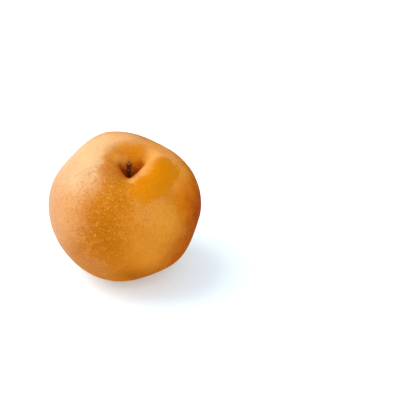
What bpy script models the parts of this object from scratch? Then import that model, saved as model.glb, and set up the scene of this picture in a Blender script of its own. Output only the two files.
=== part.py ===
"""Nashi pear, lying at rest on the small flat spot of its underside.

Three pieces, each one object:

fruit   the fleshy body in one solid, with the stem cavity at its top, the
        flower basin underneath, and a shallow socket in each
stem    the short woody stalk with its knuckled tip
calyx   the dry, corky eye of the old flower, in the basin

The pieces are shaped in the fruit's own upright frame, with its core along +Z
and its girth at height zero, and hang from one empty that leans them over the
way the fruit lies. Z = 0 is the surface it lies on, and the origin is the
point of that surface at the middle of the flat spot.
"""

import math

import bmesh
import bpy
import numpy as np
from mathutils import Matrix, Vector

MM = 0.001

# The fruit's body, before anything is pressed into it.
GIRTH_RADIUS = 44.0 * MM
SHOULDER_RISE = 39.9 * MM
SHOULDER_FULLNESS = 0.94
BASE_DROP = 42.4 * MM
BASE_FULLNESS = 1.0

# The stem cavity: a wide bowl, and the deep pit in it that holds the stem.
BOWL_DEPTH = 8.8 * MM
BOWL_SPREAD = 11.0 * MM
PIT_DEPTH = 5.8 * MM
PIT_SPREAD = 4.4 * MM

# Two creases meet at a point in front of the stem. The plump lobes in front of
# them end in a steep lip, and behind them lies a dish, the bowl's back wall.
CREASE_MEETING = (0.35 * MM, -2.3 * MM)
LIP_WIDTH = 1.05 * MM
LIP_WIDENS_BY = 13.0 * MM
LIP_POINT_ROUNDING = 0.7 * MM
# Each crease: its direction in degrees, depth, reach and width.
RIGHT_CREASE = (48.0, 4.6 * MM, 23.0 * MM, 3.2 * MM)
LEFT_CREASE = (136.0, 4.6 * MM, 11.0 * MM, 2.8 * MM)
DISH_DEPTH = 3.2 * MM
DISH_SPREAD = 13.0 * MM
DISH_LEFT_EDGE = 6.0 * MM

# The notch between the two front lobes.
NOTCH_AZIMUTH = 266.0
NOTCH_DEPTH = 1.0 * MM
NOTCH_PEAK = 3.5 * MM
NOTCH_REACH = 12.0 * MM
NOTCH_HALF_WIDTH = 2.4 * MM

# Swellings (+) and flats (-) of the body: azimuth, latitude and spread in
# degrees, and how far the skin stands out.
BODY_LOBES = (
    (68.0, 38.0, 18.0, -1.1 * MM),
    (120.0, 37.0, 17.0, 2.2 * MM),
    (155.0, 24.0, 18.0, -1.3 * MM),
    (200.0, 35.0, 30.0, 0.8 * MM),
    (222.0, -30.0, 18.0, -1.3 * MM),
    (304.0, -34.0, 17.0, -3.2 * MM),
    (347.0, -6.0, 18.0, -1.3 * MM),
    (330.0, 48.0, 22.0, 0.8 * MM),
)

# The soft ribs over the five seed chambers. Ribs and lobes set in between these
# two distances from the core line.
RIB_COUNT = 5
RIB_RISE = 0.35 * MM
RIB_AZIMUTH = 18.0
LOBES_START = 3.5 * MM
LOBES_FULL = 17.5 * MM

# The flower basin underneath.
BASIN_DEPTH = 6.0 * MM
BASIN_SPREAD = 7.2 * MM
BASIN_RIB_RISE = 0.5 * MM
BASIN_RIB_RADIUS = 8.0 * MM
BASIN_RIB_SPREAD = 4.0 * MM

# Sockets for the stem and the calyx, which stand in them with a fine gap.
FIT_GAP = 0.35 * MM
STEM_SOCKET_DEPTH = 3.0 * MM
CALYX_SOCKET_DEPTH = 1.4 * MM
SOCKET_TAPER = 0.96

# The stem.
STEM_FOOT_RADIUS = 1.75 * MM
STEM_LENGTH = 20.8 * MM
# Where along its length it has which radius: foot, shaft, knob and tip.
STEM_PROFILE = (
    (0.0, STEM_FOOT_RADIUS),
    (0.18, STEM_FOOT_RADIUS),
    (0.5, 1.36 * MM),
    (0.8, 1.32 * MM),
    (0.9, 1.75 * MM),
    (0.96, 1.72 * MM),
    (1.0, 1.33 * MM),
)
STEM_BEND = 0.7 * MM
STEM_TIP_SHIFT = (-0.3 * MM, -0.2 * MM)
STEM_RIDGES = 5
STEM_RIDGE_RISE = 0.07 * MM
STEM_RIDGES_FULL_AT = 0.25
STEM_TWIST = 2.0
TIP_DISH_SHARE = 0.55
TIP_DISH_DEPTH = 0.25 * MM

# The calyx: round its middle pit stand the stubs of five sepals.
CALYX_RADIUS = 3.4 * MM
SEPAL_COUNT = 5
SEPAL_NARROWNESS = 1.5
# Its rings in mm: radius, height over the seat, and how far a sepal carries
# the ring out and up.
CALYX_RINGS_MM = (
    (3.2, 0.0, 0.0, 0.0),
    (3.4, 0.5, 0.0, 0.0),
    (3.4, 1.0, 0.0, 0.0),
    (3.2, 1.5, 0.4, 0.4),
    (2.9, 1.7, 0.9, 1.1),
    (2.6, 1.7, 0.8, 1.3),
    (2.2, 1.3, 0.3, 0.8),
    (1.7, 0.9, 0.0, 0.2),
    (1.1, 0.8, 0.0, 0.0),
    (0.6, 1.1, 0.0, 0.0),
    (0.3, 1.3, 0.0, 0.0),
)

# How the fruit lies: its core leans to the front and a little to the right.
LEAN_FRONT = 18.0
LEAN_RIGHT = 7.0
FLAT_DEPTH = 1.0 * MM
FLAT_BLEND = 0.25 * MM

# Each piece's colour in linear red, green and blue, and its roughness.
SKIN_LOOK = ((0.70, 0.32, 0.06), 0.45)
WOOD_LOOK = ((0.09, 0.04, 0.022), 0.7)
CORK_LOOK = ((0.13, 0.07, 0.035), 0.85)

# Fineness of the meshes.
SHARP_ANGLE = 40.0
FRUIT_SIDES = 80
FINE_SPACING = 0.75 * MM
COARSE_SPACING = 3.5 * MM
FINE_WITHIN = 7.0 * MM
COARSE_BEYOND = 26.0 * MM
PROFILE_SAMPLES = 3000
STEM_SIDES = 20
STEM_RINGS = 26
CALYX_SIDES = 40


def smooth_step(value):
    """0 below 0, 1 above 1, and a smooth rise between them."""
    t = np.clip(value, 0.0, 1.0)
    return t * t * (3.0 - 2.0 * t)


def turned(azimuth, from_degrees):
    """The angle from a direction in degrees to an azimuth, from -pi to pi."""
    return (azimuth - math.radians(from_degrees) + math.pi) % (2.0 * math.pi) - math.pi


def bowl_dip(radius):
    """How far the wide bowl round the stem lies under the body's round."""
    return BOWL_DEPTH * np.exp(-((radius / BOWL_SPREAD) ** 2))


def funnel_dip(radius):
    """How much deeper the pit round the stem's foot is than the bowl."""
    return PIT_DEPTH * np.exp(-((radius / PIT_SPREAD) ** 2))


def basin_dip(radius):
    """How far the flower basin is pressed in at this radius."""
    return BASIN_DEPTH * np.exp(-((radius / BASIN_SPREAD) ** 2))


def meridian():
    """Radius and height down one side, from the stem socket's mouth to the calyx socket's."""
    latitude = np.linspace(math.pi / 2, -math.pi / 2, PROFILE_SAMPLES)
    rise = np.sin(latitude)
    fullness = np.where(rise > 0.0, SHOULDER_FULLNESS, BASE_FULLNESS)
    radius = GIRTH_RADIUS * np.cos(latitude).clip(0.0) ** fullness
    height = np.where(
        rise > 0.0,
        rise * SHOULDER_RISE - bowl_dip(radius) - funnel_dip(radius),
        rise * BASE_DROP + basin_dip(radius),
    )
    outside = np.where(
        rise > 0.0,
        radius >= STEM_FOOT_RADIUS + FIT_GAP,
        radius >= CALYX_RADIUS + FIT_GAP,
    )
    return radius[outside], height[outside]


def spaced(radius, height):
    """The meridian with its points close together in the cavity and the basin, and wider at the girth."""
    steps = np.hypot(np.diff(radius), np.diff(height))
    middle = (radius[1:] + radius[:-1]) / 2.0
    widening = smooth_step((middle - FINE_WITHIN) / (COARSE_BEYOND - FINE_WITHIN))
    spacing = FINE_SPACING + (COARSE_SPACING - FINE_SPACING) * widening
    travelled = np.concatenate(([0.0], np.cumsum(steps / spacing)))
    marks = np.linspace(0.0, travelled[-1], round(travelled[-1]) + 1)
    return np.interp(marks, travelled, radius), np.interp(marks, travelled, height)


def crease_at(x, y, crease, front_side):
    """Distance in front of one crease's line, and its trough's depth, from the creases' meeting point."""
    degrees, depth, reach, width = crease
    angle = math.radians(degrees)
    along = x * math.cos(angle) + y * math.sin(angle)
    in_front = front_side * (x * math.sin(angle) - y * math.cos(angle))
    behind = np.maximum(-in_front, 0.0)
    fading = 1.0 - smooth_step(along / reach)
    return in_front, depth * fading * np.exp(-((behind / width) ** 2))


def pit_dip(x, y):
    """The pit's depth under the bowl, with its steep lip in front, its creases and the dish behind."""
    radius = np.hypot(x, y)
    x = x - CREASE_MEETING[0]
    y = y - CREASE_MEETING[1]
    right_front, right_trough = crease_at(x, y, RIGHT_CREASE, 1.0)
    left_front, left_trough = crease_at(x, y, LEFT_CREASE, -1.0)
    point = np.hypot(right_front - left_front, LIP_POINT_ROUNDING)
    in_front = np.maximum((right_front + left_front + point) / 2.0, 0.0)
    lip_width = LIP_WIDTH * (1.0 + (x * x + y * y) / LIP_WIDENS_BY**2)
    lip = np.exp(-((in_front / lip_width) ** 2))
    dish = DISH_DEPTH * np.exp(-((radius / DISH_SPREAD) ** 2))
    dish = dish * smooth_step(-left_front / DISH_LEFT_EDGE)
    return lip * (funnel_dip(radius) + dish + np.hypot(right_trough, left_trough))


def notch_drop(radius, azimuth):
    """How deep the notch between the two front lobes is."""
    angle = turned(azimuth, NOTCH_AZIMUTH)
    across = radius * np.sin(angle)
    rising = smooth_step((radius - STEM_FOOT_RADIUS) / (NOTCH_PEAK - STEM_FOOT_RADIUS))
    fading = 1.0 - smooth_step((radius - NOTCH_PEAK) / (NOTCH_REACH - NOTCH_PEAK))
    facing = np.cos(angle) > 0.0
    return NOTCH_DEPTH * facing * rising * fading * np.exp(-((across / NOTCH_HALF_WIDTH) ** 2))


def skin_rise(points):
    """How far the lobes and ribs carry the skin out along its own direction."""
    length = np.linalg.norm(points, axis=1)
    direction = points / length[:, None]
    azimuth = np.arctan2(points[:, 1], points[:, 0])
    rise = RIB_RISE * np.cos(RIB_COUNT * turned(azimuth, RIB_AZIMUTH))
    for lobe_azimuth, latitude, spread, stands_out in BODY_LOBES:
        a, b = math.radians(lobe_azimuth), math.radians(latitude)
        middle = (math.cos(b) * math.cos(a), math.cos(b) * math.sin(a), math.sin(b))
        away = np.arccos((direction @ np.array(middle)).clip(-1.0, 1.0))
        rise = rise + stands_out * np.exp(-((away / math.radians(spread)) ** 2))
    radius = np.hypot(points[:, 0], points[:, 1])
    return rise * smooth_step((radius - LOBES_START) / (LOBES_FULL - LOBES_START))


def fruit_rings():
    """The fruit's rings of points, from the stem socket's floor to the calyx socket's floor."""
    radii, heights = spaced(*meridian())
    azimuth = np.arange(FRUIT_SIDES) * 2.0 * math.pi / FRUIT_SIDES
    rings = []
    for radius, height in zip(radii, heights):
        level = np.full(FRUIT_SIDES, height)
        if height > 0.0:
            x, y = radius * np.cos(azimuth), radius * np.sin(azimuth)
            level = level + funnel_dip(radius) - pit_dip(x, y) - notch_drop(radius, azimuth)
        else:
            nearness = math.exp(-(((radius - BASIN_RIB_RADIUS) / BASIN_RIB_SPREAD) ** 2))
            level = level + BASIN_RIB_RISE * nearness * np.cos(RIB_COUNT * azimuth)
        ring = np.column_stack((radius * np.cos(azimuth), radius * np.sin(azimuth), level))
        ring = ring * (1.0 + skin_rise(ring) / np.linalg.norm(ring, axis=1))[:, None]
        rings.append(ring)
    rings.insert(0, socket_floor(rings[0], rings[0][:, 2].min() - STEM_SOCKET_DEPTH))
    rings.append(socket_floor(rings[-1], rings[-1][:, 2].max() + CALYX_SOCKET_DEPTH))
    return rings


def socket_floor(mouth, height):
    """The level ring round a socket's floor, a little narrower than the socket's mouth."""
    floor = mouth * SOCKET_TAPER
    floor[:, 2] = height
    return floor


def mesh_of_rings(name, rings):
    """A closed mesh through rings of points, each ring joined to the next and a fan over each end."""
    shape = bmesh.new()
    loops = [[shape.verts.new(point) for point in ring] for ring in rings]
    sides = len(loops[0])
    for upper, lower in zip(loops, loops[1:]):
        for i in range(sides):
            j = (i + 1) % sides
            shape.faces.new((upper[i], lower[i], lower[j], upper[j]))
    for loop in (loops[0], loops[-1]):
        middle = shape.verts.new(sum((v.co for v in loop), Vector()) / sides)
        for i in range(sides):
            shape.faces.new((middle, loop[i], loop[(i + 1) % sides]))
    bmesh.ops.recalc_face_normals(shape, faces=shape.faces)
    mesh = bpy.data.meshes.new(name)
    shape.to_mesh(mesh)
    shape.free()
    mesh.shade_smooth()
    mesh.set_sharp_from_angle(angle=math.radians(SHARP_ANGLE))
    return mesh


def lean_matrix(rings):
    """Where the leaning core stands, with the middle of the flat spot underneath at the origin."""
    front = Matrix.Rotation(math.radians(LEAN_FRONT), 4, "X")
    lean = Matrix.Rotation(math.radians(LEAN_RIGHT), 4, "Y") @ front
    points = np.vstack(rings) @ np.array(lean.to_3x3()).T
    resting_height = points[:, 2].min() + FLAT_DEPTH
    under = points[points[:, 2] < resting_height]
    middle = (under.max(axis=0) + under.min(axis=0)) / 2.0
    return Matrix.Translation((-middle[0], -middle[1], -resting_height)) @ lean


def pressed_flat(rings, lean):
    """The rings with the skin under the resting height pressed flat, through a short parabola."""
    turn, shift = np.array(lean.to_3x3()), np.array(lean.translation)
    pressed = []
    for ring in rings:
        world = ring @ turn.T + shift
        height = world[:, 2]
        blend = (height + FLAT_BLEND) ** 2 / (4.0 * FLAT_BLEND)
        world[:, 2] = np.where(
            height > FLAT_BLEND, height, np.where(height < -FLAT_BLEND, 0.0, blend)
        )
        pressed.append((world - shift) @ turn)
    return pressed


def stem_rings(foot_height):
    """The stem's rings, from its foot in the socket to the dished face of its tip."""
    share = np.linspace(0.0, 1.0, STEM_RINGS)
    stations, radii = zip(*STEM_PROFILE)
    radius = np.interp(share, stations, radii)
    azimuth = np.arange(STEM_SIDES) * 2.0 * math.pi / STEM_SIDES
    rings = []
    for s, r in zip(share, radius):
        ridge_rise = STEM_RIDGE_RISE * min(1.0, s / STEM_RIDGES_FULL_AT)
        ridge = ridge_rise * np.cos(STEM_RIDGES * azimuth + STEM_TWIST * s)
        around = r - STEM_RIDGE_RISE + ridge
        x = STEM_TIP_SHIFT[0] * s * s + around * np.cos(azimuth)
        y = STEM_TIP_SHIFT[1] * s * s + STEM_BEND * math.sin(math.pi * s) * s + around * np.sin(azimuth)
        z = np.full(STEM_SIDES, foot_height + STEM_LENGTH * s)
        rings.append(np.column_stack((x, y, z)))
    middle = rings[-1].mean(axis=0)
    rings.append(middle + (rings[-1] - middle) * TIP_DISH_SHARE - (0.0, 0.0, TIP_DISH_DEPTH))
    return rings


def calyx_rings(seat_height):
    """The calyx's rings, from its seat in the socket over the sepal stubs to the pit in its middle."""
    azimuth = np.arange(CALYX_SIDES) * 2.0 * math.pi / CALYX_SIDES
    sepal = (0.5 + 0.5 * np.cos(SEPAL_COUNT * azimuth)) ** SEPAL_NARROWNESS
    rings = []
    for radius, height, out, up in CALYX_RINGS_MM:
        around = (radius + out * sepal) * MM
        level = seat_height - (height + up * sepal) * MM
        rings.append(np.column_stack((around * np.cos(azimuth), around * np.sin(azimuth), level)))
    return rings


def material(name, colour, roughness):
    """A plain material in the piece's own colour."""
    made = bpy.data.materials.new(name)
    made.use_nodes = True
    shader = made.node_tree.nodes["Principled BSDF"]
    shader.inputs["Base Color"].default_value = (*colour, 1.0)
    shader.inputs["Roughness"].default_value = roughness
    shader.inputs["Metallic"].default_value = 0.0
    made.diffuse_color = (*colour, 1.0)
    return made


def piece(name, rings, core, finish):
    """One named object through these rings, carried by the core's empty."""
    made = bpy.data.objects.new(name, mesh_of_rings(name, rings))
    made.data.materials.append(finish)
    made.parent = core
    bpy.context.scene.collection.objects.link(made)
    return made


def build():
    """Makes the fruit, its stem and its calyx, leaning as the fruit lies."""
    for old in list(bpy.data.objects):
        bpy.data.objects.remove(old, do_unlink=True)
    rings = fruit_rings()
    lean = lean_matrix(rings)
    core = bpy.data.objects.new("core_line", None)
    core.matrix_world = lean
    bpy.context.scene.collection.objects.link(core)
    skin = material("russet_skin", *SKIN_LOOK)
    wood = material("stem_wood", *WOOD_LOOK)
    cork = material("calyx_cork", *CORK_LOOK)
    piece("fruit", pressed_flat(rings, lean), core, skin)
    piece("stem", stem_rings(rings[0][0][2] + FIT_GAP), core, wood)
    piece("calyx", calyx_rings(rings[-1][0][2] - FIT_GAP), core, cork)


if __name__ == "__main__":
    build()
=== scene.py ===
"""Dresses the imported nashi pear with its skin, stem and calyx, in a plain bright studio.

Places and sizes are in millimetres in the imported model's own frame, unless a
name says otherwise. Colours are screen values from 0 to 255.
"""

from __future__ import annotations

import logging
import math
from dataclasses import dataclass
from enum import Enum

import bmesh
import bpy
from mathutils import Matrix, Vector, noise

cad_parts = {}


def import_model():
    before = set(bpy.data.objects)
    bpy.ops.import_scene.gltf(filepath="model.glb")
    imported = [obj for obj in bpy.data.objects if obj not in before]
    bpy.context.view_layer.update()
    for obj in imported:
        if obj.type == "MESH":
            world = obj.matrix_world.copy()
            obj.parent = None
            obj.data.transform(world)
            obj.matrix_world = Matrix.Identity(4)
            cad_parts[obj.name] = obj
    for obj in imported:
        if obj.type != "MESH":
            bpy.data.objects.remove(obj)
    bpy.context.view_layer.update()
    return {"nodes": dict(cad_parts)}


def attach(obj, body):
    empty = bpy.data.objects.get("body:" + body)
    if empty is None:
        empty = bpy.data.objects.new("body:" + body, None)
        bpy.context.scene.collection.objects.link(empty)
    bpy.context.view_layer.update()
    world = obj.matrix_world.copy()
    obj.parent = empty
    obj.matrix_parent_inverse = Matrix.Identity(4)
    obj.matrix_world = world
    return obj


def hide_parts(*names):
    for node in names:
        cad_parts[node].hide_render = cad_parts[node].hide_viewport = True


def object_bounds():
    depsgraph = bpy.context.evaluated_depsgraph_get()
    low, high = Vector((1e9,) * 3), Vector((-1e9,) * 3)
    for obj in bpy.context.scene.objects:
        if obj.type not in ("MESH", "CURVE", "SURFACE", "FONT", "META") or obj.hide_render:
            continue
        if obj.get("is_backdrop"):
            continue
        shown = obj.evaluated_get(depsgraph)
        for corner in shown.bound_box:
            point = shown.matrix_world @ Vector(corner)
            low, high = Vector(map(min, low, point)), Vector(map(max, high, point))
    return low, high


MM = 0.001
LOG = logging.getLogger("nashi_pear")

# The screen's colour curve: a straight foot and a power above it
SCREEN_FULL = 255.0
SCREEN_FOOT = 0.04045
SCREEN_FOOT_SLOPE = 12.92
SCREEN_OFFSET = 0.055
SCREEN_POWER = 2.4

# Where the Mix node has its share, its two colours and its result
MIX_SHARE = 0
MIX_UNDER = 6
MIX_OVER = 7
MIX_RESULT = 2

Triple = tuple[float, float, float]


def linear(colour: Triple) -> tuple[float, float, float, float]:
    """A screen colour as the linear colour that shaders take.

    Args:
        colour: its red, green and blue.

    Returns:
        Red, green, blue and full alpha, from 0 to 1.
    """
    parts = []
    for value in colour:
        share = value / SCREEN_FULL
        if share <= SCREEN_FOOT:
            parts.append(share / SCREEN_FOOT_SLOPE)
        else:
            parts.append(((share + SCREEN_OFFSET) / (1.0 + SCREEN_OFFSET)) ** SCREEN_POWER)
    return (*parts, 1.0)


class Wire:
    """One value, colour or vector on its way through a shader's nodes."""

    def __init__(self, recipe: Recipe, socket: bpy.types.NodeSocket) -> None:
        """Keeps the recipe and the socket that the value comes out of."""
        self.recipe = recipe
        self.socket = socket

    def __add__(self, other: Feed) -> Wire:
        """This plus the other."""
        return self.recipe.math("ADD", self, other)

    def __radd__(self, other: Feed) -> Wire:
        """The other plus this."""
        return self.recipe.math("ADD", other, self)

    def __sub__(self, other: Feed) -> Wire:
        """This less the other."""
        return self.recipe.math("SUBTRACT", self, other)

    def __rsub__(self, other: Feed) -> Wire:
        """The other less this."""
        return self.recipe.math("SUBTRACT", other, self)

    def __mul__(self, other: Feed) -> Wire:
        """This times the other."""
        return self.recipe.math("MULTIPLY", self, other)

    def __rmul__(self, other: Feed) -> Wire:
        """The other times this."""
        return self.recipe.math("MULTIPLY", other, self)

    def __truediv__(self, other: Feed) -> Wire:
        """This over the other."""
        return self.recipe.math("DIVIDE", self, other)

    def rising(self, low: Feed, high: Feed) -> Wire:
        """A smooth rise from 0 where this is low to 1 where it is high."""
        return self.recipe.ramp(self, low, high, 0.0, 1.0)

    def falling(self, low: Feed, high: Feed) -> Wire:
        """A smooth fall from 1 where this is low to 0 where it is high."""
        return self.recipe.ramp(self, low, high, 1.0, 0.0)


Feed = Wire | float


class Recipe:
    """The nodes of one material, added by one call each."""

    def __init__(self, name: str) -> None:
        """Starts an empty material.

        Args:
            name: the material's name.
        """
        self.material = bpy.data.materials.new(name)
        self.material.use_nodes = True
        self.tree = self.material.node_tree
        self.tree.nodes.clear()

    def add(
        self,
        kind: str,
        settings: dict[str, object] | None = None,
        sockets: dict[int | str, object] | None = None,
    ) -> bpy.types.Node:
        """Adds a node.

        Args:
            kind: the node's Blender type.
            settings: its own settings, set before its sockets.
            sockets: values or wires by the socket's name or place.

        Returns:
            The node.
        """
        node = self.tree.nodes.new(kind)
        for name, value in (settings or {}).items():
            setattr(node, name, value)
        for key, value in (sockets or {}).items():
            if isinstance(value, Wire):
                self.tree.links.new(value.socket, node.inputs[key])
            else:
                node.inputs[key].default_value = value
        return node

    def math(self, operation: str, first: Feed, second: Feed) -> Wire:
        """One step of arithmetic on two values."""
        node = self.add("ShaderNodeMath", {"operation": operation}, {0: first, 1: second})
        return Wire(self, node.outputs[0])

    def clamped(self, value: Wire) -> Wire:
        """A value kept from 0 to 1."""
        node = self.add("ShaderNodeClamp", {}, {"Value": value})
        return Wire(self, node.outputs["Result"])

    def vector(self, operation: str, first: object, second: object, out: str = "Vector") -> Wire:
        """One step of arithmetic on two vectors, whose result is a vector or a value."""
        node = self.add("ShaderNodeVectorMath", {"operation": operation}, {0: first, 1: second})
        return Wire(self, node.outputs[out])

    def scaled(self, vector: object, by: Feed) -> Wire:
        """A vector made longer or shorter."""
        node = self.add("ShaderNodeVectorMath", {"operation": "SCALE"}, {"Vector": vector, "Scale": by})
        return Wire(self, node.outputs["Vector"])

    def length(self, vector: Wire) -> Wire:
        """How long a vector is."""
        node = self.add("ShaderNodeVectorMath", {"operation": "LENGTH"}, {0: vector})
        return Wire(self, node.outputs["Value"])

    def ramp(self, value: Wire, low: Feed, high: Feed, at_low: float, at_high: float) -> Wire:
        """A smooth change between two values.

        Args:
            value: what the change follows.
            low: where it starts.
            high: where it ends.
            at_low: the result at and under low.
            at_high: the result at and over high.

        Returns:
            The changing value.
        """
        node = self.add(
            "ShaderNodeMapRange",
            {"interpolation_type": "SMOOTHSTEP"},
            {"Value": value, "From Min": low, "From Max": high, "To Min": at_low, "To Max": at_high},
        )
        return Wire(self, node.outputs["Result"])

    def blended(self, under: Wire | Triple, over: Triple, share: Feed) -> Wire:
        """A screen colour laid over another colour.

        Args:
            under: the colour where share is 0, as a wire or a screen colour.
            over: the screen colour laid over it.
            share: how much of it, from 0 to 1.

        Returns:
            The mixed colour.
        """
        ground = under if isinstance(under, Wire) else linear(under)
        node = self.add(
            "ShaderNodeMix",
            {"data_type": "RGBA", "clamp_factor": True},
            {MIX_SHARE: share, MIX_UNDER: ground, MIX_OVER: linear(over)},
        )
        return Wire(self, node.outputs[MIX_RESULT])

    def place(self) -> Wire:
        """Where a point of the surface is, in millimetres."""
        node = self.add("ShaderNodeTexCoord")
        return self.scaled(Wire(self, node.outputs["Object"]), 1.0 / MM)

    def finish(self, sockets: dict[str, object], height: Wire, relief: float) -> bpy.types.Material:
        """Ends the recipe with its shader.

        Args:
            sockets: the shader's own values and wires by name.
            height: the fine relief, in steps of about 1.
            relief: how far a step of 1 stands out, in millimetres.

        Returns:
            The material.
        """
        bump = self.add("ShaderNodeBump", {}, {"Distance": relief * MM, "Height": height})
        normal = Wire(self, bump.outputs["Normal"])
        shader = self.add("ShaderNodeBsdfPrincipled", {}, {**sockets, "Normal": normal})
        self.add("ShaderNodeOutputMaterial", {}, {"Surface": Wire(self, shader.outputs["BSDF"])})
        return self.material


@dataclass(frozen=True)
class Cloud:
    """Soft noise round its middle: its size in millimetres, its finer layers and their strength."""

    size: float
    detail: float = 2.0
    rough: float = 0.5

    def node(self, recipe: Recipe, place: Wire) -> bpy.types.Node:
        """The noise's node.

        Args:
            recipe: the material in the making.
            place: where, in millimetres.

        Returns:
            The node, whose value and colour both are noise.
        """
        return recipe.add(
            "ShaderNodeTexNoise",
            {"noise_dimensions": "3D"},
            {"Vector": place, "Scale": 1.0 / self.size, "Detail": self.detail, "Roughness": self.rough},
        )

    def value(self, recipe: Recipe, place: Wire) -> Wire:
        """The noise from 0 to 1."""
        return Wire(recipe, self.node(recipe, place).outputs["Fac"])


@dataclass(frozen=True)
class Wander:
    """Noise that moves places about, so that what is drawn with them gets a ragged edge."""

    size: float
    reach: float
    detail: float = 2.0
    rough: float = 0.6
    middle: Triple = (0.5, 0.5, 0.5)

    def moved(self, recipe: Recipe, place: Wire) -> Wire:
        """The place moved about.

        Args:
            recipe: the material in the making.
            place: where, in millimetres.

        Returns:
            The moved place.
        """
        node = Cloud(self.size, self.detail, self.rough).node(recipe, place)
        shift = recipe.vector("SUBTRACT", Wire(recipe, node.outputs["Color"]), self.middle)
        return recipe.vector("ADD", place, recipe.scaled(shift, self.reach))


@dataclass(frozen=True)
class Step:
    """A smooth step: 0 where a value is at none, and the share where it is at full."""

    none: float
    full: float
    share: float = 1.0

    def at(self, value: Wire) -> Wire:
        """The step's height at a value.

        Args:
            value: what the step follows.

        Returns:
            A value from 0 to the share.
        """
        if self.none < self.full:
            return value.rising(self.none, self.full) * self.share
        return value.falling(self.full, self.none) * self.share


@dataclass(frozen=True)
class Patch:
    """A patch of the skin: its middle, its reach along X, Y and Z, and how soft its edge is."""

    centre: Triple
    reach: Triple
    edge: float

    def mask(self, recipe: Recipe, place: Wire) -> Wire:
        """Where the patch is.

        Args:
            recipe: the material in the making.
            place: where, in millimetres.

        Returns:
            1 inside the patch and 0 outside it.
        """
        offset = recipe.vector("SUBTRACT", place, self.centre)
        away = recipe.length(recipe.vector("DIVIDE", offset, self.reach))
        return away.falling(1.0 - self.edge, 1.0 + self.edge)


@dataclass(frozen=True)
class Band:
    """A band of the skin along a straight line, with its reach to either side and its soft edge."""

    start: Triple
    end: Triple
    reach: float
    edge: float

    def mask(self, recipe: Recipe, place: Wire) -> Wire:
        """Where the band is.

        Args:
            recipe: the material in the making.
            place: where, in millimetres.

        Returns:
            1 in the band and 0 outside it.
        """
        line = Vector(self.end) - Vector(self.start)
        offset = recipe.vector("SUBTRACT", place, self.start)
        along = recipe.vector("DOT_PRODUCT", offset, line / line.length_squared, "Value")
        nearest = recipe.scaled(line, recipe.clamped(along))
        away = recipe.length(recipe.vector("SUBTRACT", offset, nearest)) / self.reach
        return away.falling(1.0 - self.edge, 1.0 + self.edge)


@dataclass(frozen=True)
class Zone:
    """A patch of the skin inside which something is stronger than outside it."""

    patch: Patch
    inside: float
    outside: float

    def strength(self, recipe: Recipe, place: Wire) -> Wire:
        """How strong it is at a place."""
        return self.patch.mask(recipe, place) * (self.inside - self.outside) + self.outside


@dataclass(frozen=True)
class Tone:
    """A colour laid over a patch or band of the skin, and how much of it."""

    colour: Triple
    spread: Patch | Band
    share: float

    def over(self, recipe: Recipe, under: Wire, place: Wire) -> Wire:
        """The tone laid over the skin's colour.

        Args:
            recipe: the material in the making.
            under: the colour so far.
            place: where, in millimetres.

        Returns:
            The new colour.
        """
        return recipe.blended(under, self.colour, self.spread.mask(recipe, place) * self.share)


@dataclass(frozen=True)
class CoreLine:
    """The line through the fruit's core, from the foot of the stem upwards, leaning in degrees."""

    foot: Triple = (0.58, -5.09, 58.61)
    lean_front: float = 18.0
    lean_right: float = 7.0

    def direction(self) -> Vector:
        """Which way the core points at its stem end."""
        front = Matrix.Rotation(math.radians(self.lean_front), 3, "X")
        return Matrix.Rotation(math.radians(self.lean_right), 3, "Y") @ front @ Vector((0, 0, 1))

    def height(self, recipe: Recipe, place: Wire) -> Wire:
        """How far up the core a place is from the stem's foot, in millimetres."""
        offset = recipe.vector("SUBTRACT", place, self.foot)
        return recipe.vector("DOT_PRODUCT", offset, self.direction(), "Value")

    def distance(self, recipe: Recipe, place: Wire) -> Wire:
        """How far a place is from the core's line, in millimetres."""
        offset = recipe.vector("SUBTRACT", place, self.foot)
        return recipe.length(recipe.vector("CROSS_PRODUCT", offset, self.direction()))


@dataclass(frozen=True)
class Dots:
    """The skin's pale dots: their spacing, the largest radius, and the smallest and core shares."""

    spacing: float = 1.35
    radius: float = 0.52
    smallest: float = 0.4
    core: float = 0.2

    def mask(self, recipe: Recipe, place: Wire) -> Wire:
        """Where the dots are.

        Args:
            recipe: the material in the making.
            place: where, in millimetres.

        Returns:
            1 on a dot and 0 between them.
        """
        cells = recipe.add(
            "ShaderNodeTexVoronoi",
            {"voronoi_dimensions": "3D", "feature": "F1"},
            {"Vector": place, "Scale": 1.0 / self.spacing},
        )
        away = Wire(recipe, cells.outputs["Distance"]) * self.spacing
        chance = recipe.add("ShaderNodeSeparateColor", {}, {0: Wire(recipe, cells.outputs["Color"])})
        share = Wire(recipe, chance.outputs[0]) * (1.0 - self.smallest) + self.smallest
        size = share * self.radius
        return away.falling(size * self.core, size)


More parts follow.
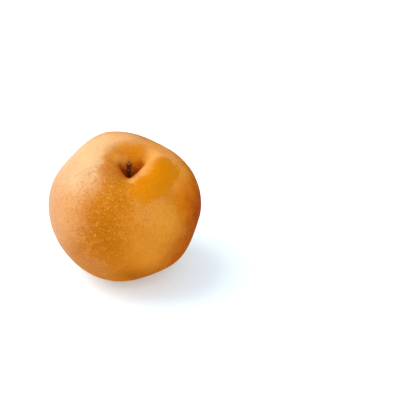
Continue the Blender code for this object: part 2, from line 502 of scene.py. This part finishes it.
@dataclass(frozen=True)
class SkinFinish:
    """Satin russet skin: tan with pale dots on one side, smooth and more orange on the other."""

    # The ripe ground and the broad russet that mottles it
    ripe: Triple = (186, 108, 0)
    russet: Triple = (196, 126, 36)
    broad: Cloud = Cloud(20.0, 3.0)
    russet_step: Step = Step(0.42, 0.68, 0.7)

    # Broad soft tones, laid one over the other with ragged edges
    ragged: Wander = Wander(6.0, 9.0)
    tones: tuple[Tone, ...] = (
        # Brown on the front left, orange under it
        Tone((166, 88, 0), Patch((-20.0, -40.0, 43.0), (24.0, 16.0, 24.0), 0.6), 0.82),
        Tone((184, 100, 0), Patch((-4.0, -38.0, 22.0), (28.0, 18.0, 16.0), 0.6), 0.75),
        # Pale shoulder and side on the left: a paler russet, lightened further by painted highlight and
        # rim sheen where the light falls from the upper left
        Tone((200, 163, 120), Patch((-29.0, -2.0, 75.0), (24.0, 27.0, 18.0), 0.5), 0.9),
        Tone((184, 126, 84), Patch((-45.0, -14.0, 40.0), (14.0, 34.0, 30.0), 0.6), 0.82),
        # Tan low on the left, a painted rim sheen; brown low on the right
        Tone((178, 110, 58), Patch((-23.0, -36.0, 24.0), (18.0, 10.0, 13.0), 0.6), 0.65),
        Tone((148, 72, 0), Patch((11.0, -37.0, 20.0), (14.0, 10.0, 9.0), 0.6), 0.7),
        # Pale front left, and the pale shoulder behind the bowl
        Tone((208, 154, 98), Patch((-30.0, -32.0, 54.0), (10.0, 10.0, 13.0), 0.6), 0.35),
        Tone((214, 162, 110), Patch((-6.0, 12.0, 83.0), (20.0, 9.0, 7.0), 0.6), 0.85),
        # Tan front right, paler under the yellow side
        Tone((208, 130, 42), Patch((20.0, -36.0, 48.0), (20.0, 14.0, 24.0), 0.5), 0.75),
        Tone((210, 140, 64), Patch((18.0, -32.5, 60.5), (13.0, 9.0, 9.0), 0.5), 0.48),
        # Right side: brown low down, tan above, orange between them, and the red blush; the brown low
        # down and the blush are partly the fruit's own red-brown and partly painted shade on the side
        # that gets little light
        Tone((162, 70, 0), Patch((37.0, -29.0, 22.0), (16.0, 22.0, 24.0), 0.6), 0.92),
        Tone((228, 152, 62), Patch((31.0, -10.0, 68.0), (8.0, 14.0, 9.0), 0.6), 0.7),
        Tone((208, 104, 0), Patch((35.0, -16.0, 59.0), (8.0, 14.0, 10.0), 0.6), 0.65),
        Tone((148, 42, 0), Patch((46.5, -14.0, 40.0), (10.5, 36.0, 32.0), 0.6), 0.95),
        # Pale shoulder on the right, golden skin on the front right
        Tone((217, 148, 78), Patch((21.0, 6.0, 77.0), (13.0, 11.0, 9.0), 0.5), 0.85),
        Tone((214, 142, 42), Patch((23.0, -33.0, 53.0), (9.0, 9.0, 10.0), 0.5), 0.5),
        # Round the bowl: pale on the left, partly a painted highlight, brown in front, orange between
        # them
        Tone((212, 172, 122), Patch((-16.5, 1.0, 80.0), (11.0, 13.0, 8.0), 0.5), 0.9),
        Tone((178, 100, 0), Patch((-6.0, -19.0, 74.0), (7.0, 13.0, 8.0), 0.6), 0.75),
        Tone((198, 112, 4), Patch((-7.5, -10.0, 77.5), (4.0, 7.0, 6.0), 0.6), 0.7),
    )

    # Olive flecks, mostly in front of the bowl
    olive: Triple = (156, 92, 0)
    olive_cloud: Cloud = Cloud(2.0, 3.0, 0.6)
    olive_step: Step = Step(0.56, 0.32)
    olive_zone: Zone = Zone(Patch((-10.0, -30.0, 64.0), (20.0, 18.0, 20.0), 0.6), 0.55, 0.15)

    # Pale mottling, mostly on the left
    russet_pale: Triple = (212, 150, 82)
    mottle: Cloud = Cloud(3.2, 4.0, 0.68)
    mottle_step: Step = Step(0.48, 0.74, 0.34)
    russet_zone: Zone = Zone(Patch((-24.0, -14.0, 60.0), (30.0, 50.0, 50.0), 0.4), 1.0, 0.1)

    # The stem's bowl, the pit in it and the basin underneath, by height up the core and distance from it
    bowl_wander: Wander = Wander(4.0, 3.0)
    bowl: Tone = Tone((194, 114, 2), Patch((2.2, -2.5, 77.5), (12.4, 9.5, 8.0), 0.42), 0.85)
    pit: Triple = (176, 66, 0)
    pit_width: Step = Step(9.0, 3.0, 0.95)
    pit_height: Step = Step(-10.0, 0.0)
    basin: Triple = (116, 74, 38)
    basin_width: Step = Step(13.0, 4.0, 0.8)
    basin_height: Step = Step(-50.0, -62.0)

    # The smooth yellow side, a little plainer where the mottling is pale
    yellow: Triple = (200, 119, 0)
    yellow_wander: Wander = Wander(4.0, 10.0)
    yellow_side: Band = Band((12.7, -25.0, 70.0), (23.4, -9.5, 72.8), 8.3, 0.14)
    yellow_least: float = 0.82
    yellow_step: Step = Step(0.6, 0.35, 0.16)

    # Along the creases: a painted highlight along the lip in two lengths, painted shade in two red
    # insides, and painted light on the shaded wall on the left
    crease_wander: Wander = Wander(3.5, 3.5)
    crease_highlights_and_shade: tuple[Tone, ...] = (
        Tone((226, 168, 96), Band((4.6, -20.0, 71.5), (8.8, -10.6, 72.2), 2.0, 0.9), 0.6),
        Tone((226, 164, 88), Band((10.2, -11.6, 72.6), (15.4, 0.0, 76.8), 3.4, 0.9), 0.6),
        Tone((150, 44, 0), Band((4.2, -3.6, 66.5), (8.8, -2.6, 71.4), 2.4, 0.9), 0.65),
        Tone((150, 48, 0), Band((-1.0, -5.2, 68.5), (-3.6, -6.6, 73.4), 2.0, 0.9), 0.55),
        Tone((232, 156, 66), Band((-4.5, -4.0, 76.8), (-2.4, -2.4, 74.0), 2.8, 0.9), 0.6),
    )

    # Fine specks, the pale ones stronger where the russet is
    specks: Cloud = Cloud(0.55, 2.0, 0.7)
    speck_pale: Triple = (246, 176, 52)
    pale_step: Step = Step(0.5, 0.8)
    pale_on_russet: float = 0.28
    pale_anywhere: float = 0.14
    speck_dark: Triple = (108, 54, 0)
    dark_step: Step = Step(0.5, 0.2, 0.46)

    # Pale dots, dense on the front left and faint on the yellow side
    dot: Triple = (232, 174, 80)
    dots: Dots = Dots()
    dotted_wander: Wander = Wander(9.0, 12.0)
    dotted_zone: Zone = Zone(Patch((-9.0, -22.0, 67.0), (30.0, 36.0, 30.0), 0.5), 0.6, 0.15)
    dots_lost_on_yellow: float = 0.6

    # Gloss, with a waxy coat on the left, and fine relief
    roughness: float = 0.5
    grain: Cloud = Cloud(0.7, 3.0, 0.6)
    grain_roughness: float = 0.12
    dot_smoothness: float = 0.05
    waxy_zone: Zone = Zone(Patch((-38.0, 2.0, 62.0), (28.0, 40.0, 42.0), 0.6), 0.65, 0.05)
    coat_roughness: float = 0.45
    leather: Cloud = Cloud(2.6, 2.0)
    leather_height: float = 0.45
    dot_height: float = 0.4
    relief: float = 0.15

    # Light that goes a little way into the flesh, the red deepest
    subsurface: float = 0.12
    subsurface_radius: Triple = (1.0, 0.35, 0.1)
    subsurface_depth: float = 2.5

    def ground(self, recipe: Recipe, place: Wire) -> Wire:
        """The ripe ground with its russet and its broad tones.

        Args:
            recipe: the material in the making.
            place: where, in millimetres.

        Returns:
            The colour.
        """
        russet = self.russet_step.at(self.broad.value(recipe, place))
        base = recipe.blended(self.ripe, self.russet, russet)
        ragged = self.ragged.moved(recipe, place)
        for tone in self.tones:
            base = tone.over(recipe, base, ragged)
        olive = self.olive_step.at(self.olive_cloud.value(recipe, place))
        olive = olive * self.olive_zone.strength(recipe, ragged)
        return recipe.blended(base, self.olive, olive)

    def hollows(self, recipe: Recipe, base: Wire, place: Wire, core: CoreLine) -> Wire:
        """The bowl, the pit and the basin laid over the ground.

        Args:
            recipe: the material in the making.
            base: the colour so far.
            place: where, in millimetres.
            core: the fruit's core line.

        Returns:
            The new colour.
        """
        height = core.height(recipe, place)
        distance = core.distance(recipe, place)
        base = self.bowl.over(recipe, base, self.bowl_wander.moved(recipe, place))
        pit = self.pit_width.at(distance) * self.pit_height.at(height)
        base = recipe.blended(base, self.pit, pit)
        basin = self.basin_width.at(distance) * self.basin_height.at(height)
        return recipe.blended(base, self.basin, basin)

    def colour(self, recipe: Recipe, place: Wire, core: CoreLine, dots: Wire) -> Wire:
        """The skin's colour from place to place.

        Args:
            recipe: the material in the making.
            place: where, in millimetres.
            core: the fruit's core line.
            dots: how far the pale dots show.

        Returns:
            The colour.
        """
        base = self.ground(recipe, place)
        mottle = self.mottle.value(recipe, place)
        russet = self.russet_zone.strength(recipe, self.ragged.moved(recipe, place))
        base = recipe.blended(base, self.russet_pale, self.mottle_step.at(mottle) * russet)
        base = self.hollows(recipe, base, place, core)
        specks = self.specks.value(recipe, place)
        pale = self.pale_step.at(specks) * (russet * self.pale_on_russet + self.pale_anywhere)
        base = recipe.blended(base, self.speck_pale, pale)
        yellow = self.yellow_side.mask(recipe, self.yellow_wander.moved(recipe, place))
        yellow = yellow * (self.yellow_least + self.yellow_step.at(mottle))
        base = recipe.blended(base, self.yellow, yellow)
        wavy = self.crease_wander.moved(recipe, place)
        # Painted highlight, shade and light along the creases
        for crease in self.crease_highlights_and_shade:
            base = crease.over(recipe, base, wavy)
        base = recipe.blended(base, self.speck_dark, self.dark_step.at(specks))
        return recipe.blended(base, self.dot, dots * (1.0 - yellow * self.dots_lost_on_yellow))

    def material(self, core: CoreLine) -> bpy.types.Material:
        """The finished skin.

        Args:
            core: the fruit's core line.

        Returns:
            The material.
        """
        recipe = Recipe("russet_skin")
        place = recipe.place()
        dots = self.dots.mask(recipe, place)
        shown = self.dotted_zone.strength(recipe, self.dotted_wander.moved(recipe, place))
        grain = self.grain.value(recipe, place)
        leather = self.leather.value(recipe, place)
        rough = self.roughness + self.grain_roughness * (grain - 0.5) - dots * self.dot_smoothness
        return recipe.finish(
            {
                "Base Color": self.colour(recipe, place, core, dots * shown),
                "Roughness": rough,
                "Specular IOR Level": 0.0,
                "Coat Weight": self.waxy_zone.strength(recipe, place),
                "Coat Roughness": self.coat_roughness,
                "Subsurface Weight": self.subsurface,
                "Subsurface Radius": self.subsurface_radius,
                "Subsurface Scale": self.subsurface_depth * MM,
            },
            grain + leather * self.leather_height + dots * self.dot_height,
            self.relief,
        )


@dataclass(frozen=True)
class BarkFinish:
    """Dry dark bark of the stem, streaked lengthwise, darkened by painted shade towards its foot down in
    the pit, with a paler scar where it was cut.
    """

    bark: Triple = (112, 54, 12)
    bark_dark: Triple = (44, 12, 0)
    bark_red: Triple = (168, 100, 40)
    scar: Triple = (156, 98, 50)
    streaks: Cloud = Cloud(0.45, 4.0, 0.6)
    streak_stretch: Triple = (1.0, 1.0, 0.25)
    broad: Cloud = Cloud(2.4, 2.0)
    bark_step: Step = Step(0.35, 0.7)
    red_step: Step = Step(0.5, 0.75, 0.6)
    # Painted shade: the bark darker towards the stem's foot, down in the pit
    foot_shade: Step = Step(12.0, 4.0, 0.8)
    cut_height: Step = Step(20.4, 20.7)
    scar_step: Step = Step(0.3, 0.6, 0.7)
    roughness: float = 0.72
    streak_roughness: float = 0.15
    specular: float = 0.1
    relief: float = 0.15

    def material(self, core: CoreLine) -> bpy.types.Material:
        """The finished bark.

        Args:
            core: the fruit's core line, which the stem stands on.

        Returns:
            The material.
        """
        recipe = Recipe("stem_wood")
        place = recipe.place()
        height = core.height(recipe, place)
        stretched = recipe.vector("MULTIPLY", place, self.streak_stretch)
        streaks = self.streaks.value(recipe, stretched)
        broad = self.broad.value(recipe, place)
        base = recipe.blended(self.bark_dark, self.bark, self.bark_step.at(streaks))
        base = recipe.blended(base, self.bark_red, self.red_step.at(broad))
        base = recipe.blended(base, self.bark_dark, self.foot_shade.at(height))
        scar = self.cut_height.at(height) * self.scar_step.at(streaks)
        return recipe.finish(
            {
                "Base Color": recipe.blended(base, self.scar, scar),
                "Roughness": self.roughness + self.streak_roughness * (streaks - 0.5),
                "Specular IOR Level": self.specular,
            },
            streaks,
            self.relief,
        )


@dataclass(frozen=True)
class CorkFinish:
    """Dry corky brown of the calyx, flaky and greyer in places."""

    cork: Triple = (112, 78, 52)
    cork_dark: Triple = (58, 36, 22)
    cork_grey: Triple = (142, 118, 92)
    flakes: Cloud = Cloud(0.6, 4.0, 0.65)
    broad: Cloud = Cloud(2.2, 2.0)
    cork_step: Step = Step(0.35, 0.65)
    grey_step: Step = Step(0.5, 0.72, 0.5)
    roughness: float = 0.85
    flake_roughness: float = 0.1
    relief: float = 0.2

    def material(self) -> bpy.types.Material:
        """The finished cork.

        Returns:
            The material.
        """
        recipe = Recipe("calyx_cork")
        place = recipe.place()
        flakes = self.flakes.value(recipe, place)
        broad = self.broad.value(recipe, place)
        base = recipe.blended(self.cork_dark, self.cork, self.cork_step.at(flakes))
        base = recipe.blended(base, self.cork_grey, self.grey_step.at(broad))
        rough = self.roughness + self.flake_roughness * (flakes - 0.5)
        return recipe.finish({"Base Color": base, "Roughness": rough}, flakes, self.relief)


@dataclass(frozen=True)
class FloorFinish:
    """Plain white floor under the fruit, faintly bright by itself, so that shadows stay light."""

    white: Triple = (228, 242, 248)
    glow_tint: Triple = (226, 236, 242)
    glow: float = 0.26
    roughness: float = 0.9
    grain: Cloud = Cloud(1.5, 2.0)
    relief: float = 0.01

    def material(self) -> bpy.types.Material:
        """The finished floor.

        Returns:
            The material.
        """
        recipe = Recipe("white_floor")
        return recipe.finish(
            {
                "Base Color": linear(self.white),
                "Roughness": self.roughness,
                "Specular IOR Level": 0.0,
                "Emission Color": linear(self.glow_tint),
                "Emission Strength": self.glow,
            },
            self.grain.value(recipe, recipe.place()),
            self.relief,
        )


@dataclass
class Grown:
    """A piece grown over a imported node: a finer, smooth mesh with its own small relief.

    Each kind of piece gives its name, its slot and the height and size of its
    waves. The join angle is in degrees.
    """

    node: bpy.types.Object
    name: str
    slot: str
    wave_height: float
    wave_size: float
    wave_fall: float = 1.0
    wave_step: float = 2.0
    wave_layers: int = 3
    fineness: int = 2
    weld: float = 0.002
    join_angle: float = 40.0

    def coarse_mesh(self) -> bpy.types.Mesh:
        """The node's mesh, welded and mostly in four-sided faces.

        Returns:
            The mesh.
        """
        shape = bmesh.new()
        shape.from_mesh(self.node.data)
        bmesh.ops.remove_doubles(shape, verts=shape.verts, dist=self.weld * MM)
        angle = math.radians(self.join_angle)
        bmesh.ops.join_triangles(
            shape, faces=shape.faces, angle_face_threshold=angle, angle_shape_threshold=angle
        )
        points = [vertex.co.copy() for vertex in shape.verts]
        shape.verts.index_update()
        faces = [[vertex.index for vertex in face.verts] for face in shape.faces]
        shape.free()
        mesh = bpy.data.meshes.new(self.name)
        mesh.from_pydata(points, [], faces)
        return mesh

    def finer_mesh(self) -> bpy.types.Mesh:
        """The coarse mesh subdivided.

        Returns:
            The mesh.
        """
        coarse = self.coarse_mesh()
        holder = bpy.data.objects.new(self.name, coarse)
        bpy.context.scene.collection.objects.link(holder)
        finer = holder.modifiers.new("finer", "SUBSURF")
        finer.levels = self.fineness
        finer.render_levels = self.fineness
        depsgraph = bpy.context.evaluated_depsgraph_get()
        mesh = bpy.data.meshes.new_from_object(holder.evaluated_get(depsgraph))
        bpy.data.objects.remove(holder)
        bpy.data.meshes.remove(coarse)
        mesh.name = self.name
        return mesh

    def relief(self, point: Vector) -> float:
        """How far the surface stands out at a point, in millimetres."""
        waves = noise.fractal(point / self.wave_size, self.wave_fall, self.wave_step, self.wave_layers)
        return self.wave_height * waves

    def build(self) -> bpy.types.Object:
        """The finished piece, in the node's place.

        Returns:
            The object, riding on the one body and standing for its node.
        """
        mesh = self.finer_mesh()
        normals = [normal.vector.copy() for normal in mesh.vertex_normals]
        for vertex, normal in zip(mesh.vertices, normals):
            point = vertex.co / MM
            vertex.co = (point + normal * self.relief(point)) * MM
        mesh.shade_smooth()
        piece = bpy.data.objects.new(self.name, mesh)
        bpy.context.scene.collection.objects.link(piece)
        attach(piece, "root")
        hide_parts(self.node.name)
        LOG.info("%s has %d faces", self.name, len(mesh.polygons))
        return piece

    def dress(self, piece: bpy.types.Object, material: bpy.types.Material) -> None:
        """Gives the piece one material all over."""
        piece.data.materials.clear()
        piece.data.materials.append(material)


@dataclass
class Skin(Grown):
    """The fruit itself, with the faint waviness of real skin over its lobes."""

    name: str = "skin"
    slot: str = "skin"
    wave_height: float = 0.12
    wave_size: float = 9.0
    flat_to: float = 4.0

    def relief(self, point: Vector) -> float:
        """Waves in the skin, none where the fruit lies on its flat spot."""
        share = min(1.0, max(0.0, point.z / self.flat_to))
        return share * super().relief(point)


@dataclass
class Stem(Grown):
    """The short woody stalk, with wrinkled bark."""

    name: str = "stalk"
    slot: str = "stem_wood"
    wave_height: float = 0.14
    wave_size: float = 1.1


@dataclass
class Calyx(Grown):
    """The dry eye of the old flower, with flaky stubs."""

    name: str = "dry_eye"
    slot: str = "calyx_cork"
    wave_height: float = 0.16
    wave_size: float = 1.0


class Side(Enum):
    """Which side of the fruit a softbox lights, as the direction it shines from."""

    UPPER_LEFT = (-0.55, 0.1, 0.85)
    LEFT = (-1.0, -0.1, 0.3)
    FRONT_RIGHT = (0.38, -0.8, 0.55)


@dataclass(frozen=True)
class Softbox:
    """One square softbox: its side, its distance and width in metres, its brightness and tint."""

    side: Side
    distance: float
    width: float
    radiance: float
    tint: Triple = (255, 255, 255)

    def build(self, aim: Vector) -> bpy.types.Object:
        """Hangs the softbox.

        Args:
            aim: the point that it shines at, in metres.

        Returns:
            The lamp's object.
        """
        lamp = bpy.data.lights.new("softbox_" + self.side.name.lower(), "AREA")
        lamp.shape = "SQUARE"
        lamp.size = self.width
        lamp.energy = self.radiance * math.pi * self.width**2
        lamp.color = linear(self.tint)[:3]
        box = bpy.data.objects.new(lamp.name, lamp)
        direction = Vector(self.side.value).normalized()
        box.location = aim + direction * self.distance
        box.rotation_euler = direction.to_track_quat("Z", "Y").to_euler()
        bpy.context.scene.collection.objects.link(box)
        return box


@dataclass(frozen=True)
class Studio:
    """The white floor, the light round it and the softboxes.

    The floor's size is in metres, and it lies a small gap under the fruit.
    """

    softboxes: tuple[Softbox, ...] = (
        Softbox(Side.UPPER_LEFT, distance=1.0, width=0.9, radiance=3.3, tint=(255, 252, 246)),
        Softbox(Side.LEFT, distance=1.2, width=1.0, radiance=2.2, tint=(255, 252, 246)),
        Softbox(Side.FRONT_RIGHT, distance=1.2, width=1.0, radiance=1.8),
    )
    sky: float = 0.7
    sky_tint: Triple = (240, 246, 255)
    floor_finish: FloorFinish = FloorFinish()
    floor_size: float = 6.0
    floor_gap: float = 0.02

    def lay_floor(self) -> None:
        """Lays the floor."""
        half = self.floor_size / 2.0
        outline = [(-half, -half, 0), (half, -half, 0), (half, half, 0), (-half, half, 0)]
        mesh = bpy.data.meshes.new("white_floor")
        mesh.from_pydata(outline, [], [(0, 1, 2, 3)])
        mesh.materials.append(self.floor_finish.material())
        floor = bpy.data.objects.new("white_floor", mesh)
        floor.location.z = -self.floor_gap * MM
        bpy.context.scene.collection.objects.link(floor)
        floor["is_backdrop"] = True

    def build(self, aim: Vector) -> None:
        """Lays the floor and lights it.

        Args:
            aim: the point that the softboxes shine at, in metres.
        """
        self.lay_floor()
        for softbox in self.softboxes:
            softbox.build(aim)
        world = bpy.data.worlds.new("white_room")
        world.use_nodes = True
        background = world.node_tree.nodes["Background"]
        background.inputs["Color"].default_value = linear(self.sky_tint)
        background.inputs["Strength"].default_value = self.sky
        bpy.context.scene.world = world
        bpy.context.scene.view_settings.view_transform = "Standard"


@dataclass(frozen=True)
class PhotoCamera:
    """The camera at the photograph's angle, with the fruit where the photograph has it.

    The elevation is in degrees. The fruit's width in the frame's pixels sets the
    distance, and the picture's middle lies so many pixels right of and above the
    fruit's middle.
    """

    elevation: float = 32.0
    lens: float = 100.0
    sensor: float = 36.0
    frame_pixels: float = 400.0
    fruit_width: float = 88.0
    fruit_pixels: float = 152.5
    fruit_middle: Triple = (-2.0, 1.75, 40.9)
    pixels_right: float = 75.5
    pixels_above: float = 7.3

    def build(self) -> bpy.types.Object:
        """Places the camera and makes it the scene's own.

        Returns:
            The camera.
        """
        angle = math.radians(self.elevation)
        back = Vector((0.0, -math.cos(angle), math.sin(angle)))
        right = Vector((1.0, 0.0, 0.0))
        up = back.cross(right)
        pixel = self.fruit_width / self.fruit_pixels * MM
        distance = self.lens / self.sensor * self.frame_pixels * pixel
        target = Vector(self.fruit_middle) * MM
        target += (right * self.pixels_right + up * self.pixels_above) * pixel
        data = bpy.data.cameras.new("photo_camera")
        data.lens = self.lens
        data.sensor_width = self.sensor
        camera = bpy.data.objects.new("photo_camera", data)
        camera.location = target + back * distance
        camera.rotation_euler = Matrix((right, up, back)).transposed().to_euler()
        bpy.context.scene.collection.objects.link(camera)
        bpy.context.scene.camera = camera
        return camera


def main() -> None:
    """Builds and dresses the pear piece by piece."""
    logging.basicConfig(level=logging.INFO, format="%(name)s: %(message)s")
    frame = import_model()
    PhotoCamera().build()
    core = CoreLine()
    skin = Skin(frame["nodes"]["fruit"])
    skin.dress(skin.build(), SkinFinish().material(core))
    stem = Stem(frame["nodes"]["stem"])
    stem.dress(stem.build(), BarkFinish().material(core))
    calyx = Calyx(frame["nodes"]["calyx"])
    calyx.dress(calyx.build(), CorkFinish().material())
    low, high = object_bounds()
    Studio().build((low + high) / 2.0)


if __name__ == "__main__":
    main()
